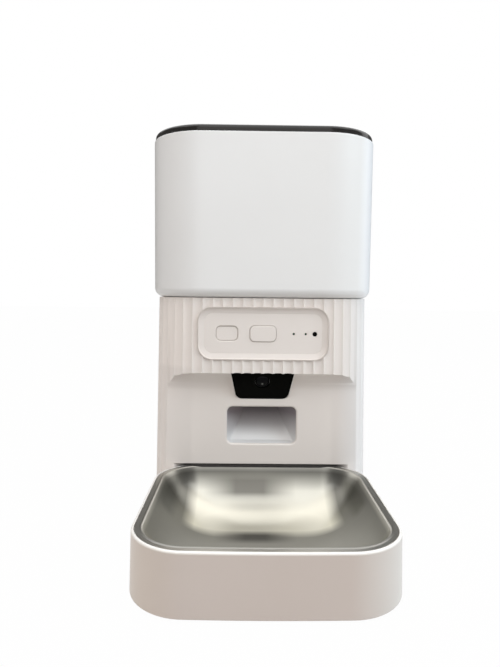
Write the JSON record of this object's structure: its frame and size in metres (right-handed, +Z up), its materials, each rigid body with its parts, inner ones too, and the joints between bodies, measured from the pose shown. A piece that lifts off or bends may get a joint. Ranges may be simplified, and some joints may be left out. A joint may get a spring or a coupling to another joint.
{
  "type": "pet feeder",
  "caption": "Automatic pet feeder: lidded food hopper on a fluted tower with a slanted camera window, button panel and food outlet, and a docked tray with a steel bowl.",
  "frame": {"origin": "on the floor, under the middle of the whole feeder with its tray docked", "axes": "+Z up, the front with the panel, camera and tray faces -Y, +X is to the right seen from the front"},
  "size_m": [0.195, 0.334, 0.335],
  "materials": {
    "hopper_white": "glossy white moulded plastic",
    "base_white": "satin white moulded plastic",
    "tray_white": "satin gloss white moulded plastic",
    "lid_black": "high gloss black plastic",
    "window_black": "polished smoked black acrylic",
    "lens_glass": "coated lens glass",
    "inner_plastic": "matte white moulded plastic",
    "acetal": "natural waxy moulded plastic",
    "dark_plastic": "dark grey moulded plastic",
    "rubber_foot": "matte rubber",
    "silicone": "translucent white silicone",
    "bowl_steel": "satin pressed stainless steel",
    "zinc_steel": "zinc plated steel",
    "circuit_green": "green solder mask",
    "cell_wrap": "plain dark battery sleeve"
  },
  "bodies": {
    "tower": {"hopper_shell": "hopper_white", "hopper_funnel": "inner_plastic", "rotor_housing": "inner_plastic", "portion_baffle": "inner_plastic", "gearbox_case": "dark_plastic", "gear_motor": "zinc_steel", "food_chute": "inner_plastic", "base_shell": "base_white", "control_panel": "base_white", "panel_board": "circuit_green", "status_lamp": "window_black", "camera_window": "window_black", "camera_bracket": "dark_plastic", "lens_barrel": "dark_plastic", "camera_lens": "lens_glass", "camera_board": "circuit_green", "main_board": "circuit_green", "power_inlet": "dark_plastic", "speaker": "dark_plastic", "base_plate": "base_white", "base_screw_1": "zinc_steel", "base_screw_2": "zinc_steel", "base_screw_3": "zinc_steel", "base_screw_4": "zinc_steel", "base_foot_1": "rubber_foot", "base_foot_2": "rubber_foot", "base_foot_3": "rubber_foot", "base_foot_4": "rubber_foot", "battery_box": "inner_plastic", "battery_cell_1": "cell_wrap", "battery_cell_2": "cell_wrap", "battery_cell_3": "cell_wrap", "battery_contacts": "zinc_steel"},
    "lid": {"lid_cover": "lid_black", "lid_liner": "inner_plastic", "lid_seal": "silicone"},
    "knob": {"lid_knob": "lid_black"},
    "bolt_right": {"lid_bolt_right": "acetal"},
    "bolt_left": {"lid_bolt_left": "acetal"},
    "drier_cap": {"desiccant_cap": "inner_plastic"},
    "rotor": {"feed_rotor": "acetal", "rotor_shaft": "zinc_steel", "drive_gear": "acetal"},
    "pinion": {"motor_pinion": "acetal"},
    "feed_key": {"feed_button": "base_white"},
    "reset_key": {"reset_button": "base_white"},
    "tray": {"bowl_tray": "tray_white", "tray_floor": "tray_white", "tray_foot_1": "rubber_foot", "tray_foot_2": "rubber_foot", "tray_foot_3": "rubber_foot", "tray_foot_4": "rubber_foot"},
    "bowl": {"steel_bowl": "bowl_steel"},
    "door": {"battery_door": "base_white"}
  },
  "joints": [
    {"name": "lid_lift", "type": "slide", "parent": "tower", "child": "lid", "axis": [0, 0, 1], "range_m": [0, 0.12]},
    {"name": "knob_turn", "type": "hinge", "parent": "lid", "child": "knob", "pos_m": [0, 0.072, 0.33], "axis": [0, 0, -1], "range_deg": [0, 90]},
    {"name": "bolt_right_slide", "type": "slide", "parent": "lid", "child": "bolt_right", "axis": [1, 0, 0], "range_m": [0, 0.0064]},
    {"name": "bolt_left_slide", "type": "slide", "parent": "lid", "child": "bolt_left", "axis": [-1, 0, 0], "range_m": [0, 0.0064]},
    {"name": "drier_cap_turn", "type": "hinge", "parent": "lid", "child": "drier_cap", "pos_m": [0, 0.117, 0.305], "axis": [0, 0, 1], "range_deg": [0, 45]},
    {"name": "rotor_spin", "type": "hinge", "parent": "tower", "child": "rotor", "pos_m": [0, 0.077, 0.17], "axis": [0, 0, 1], "continuous": true},
    {"name": "pinion_spin", "type": "hinge", "parent": "tower", "child": "pinion", "pos_m": [0, 0.0995, 0.15], "axis": [0, 0, 1], "continuous": true},
    {"name": "feed_press", "type": "slide", "parent": "tower", "child": "feed_key", "axis": [0, 1, 0], "range_m": [0, 0.0008], "stiffness_N_per_m": 800, "springref_m": -0.0005},
    {"name": "reset_press", "type": "slide", "parent": "tower", "child": "reset_key", "axis": [0, 1, 0], "range_m": [0, 0.0008], "stiffness_N_per_m": 800, "springref_m": -0.0005},
    {"name": "tray_pull", "type": "slide", "parent": "tower", "child": "tray", "axis": [0, -1, 0], "range_m": [0, 0.15]},
    {"name": "bowl_lift", "type": "slide", "parent": "tray", "child": "bowl", "axis": [0, 0, 1], "range_m": [0, 0.055]},
    {"name": "door_pull", "type": "slide", "parent": "tower", "child": "door", "axis": [0, 1, 0], "range_m": [0, 0.03]}
  ],
  "couplings": [
    {"joint": "bolt_right_slide", "follows": "knob_turn", "m_per_rad": 0.004},
    {"joint": "bolt_left_slide", "follows": "knob_turn", "m_per_rad": 0.004},
    {"joint": "pinion_spin", "follows": "rotor_spin", "ratio": -2}
  ]
}
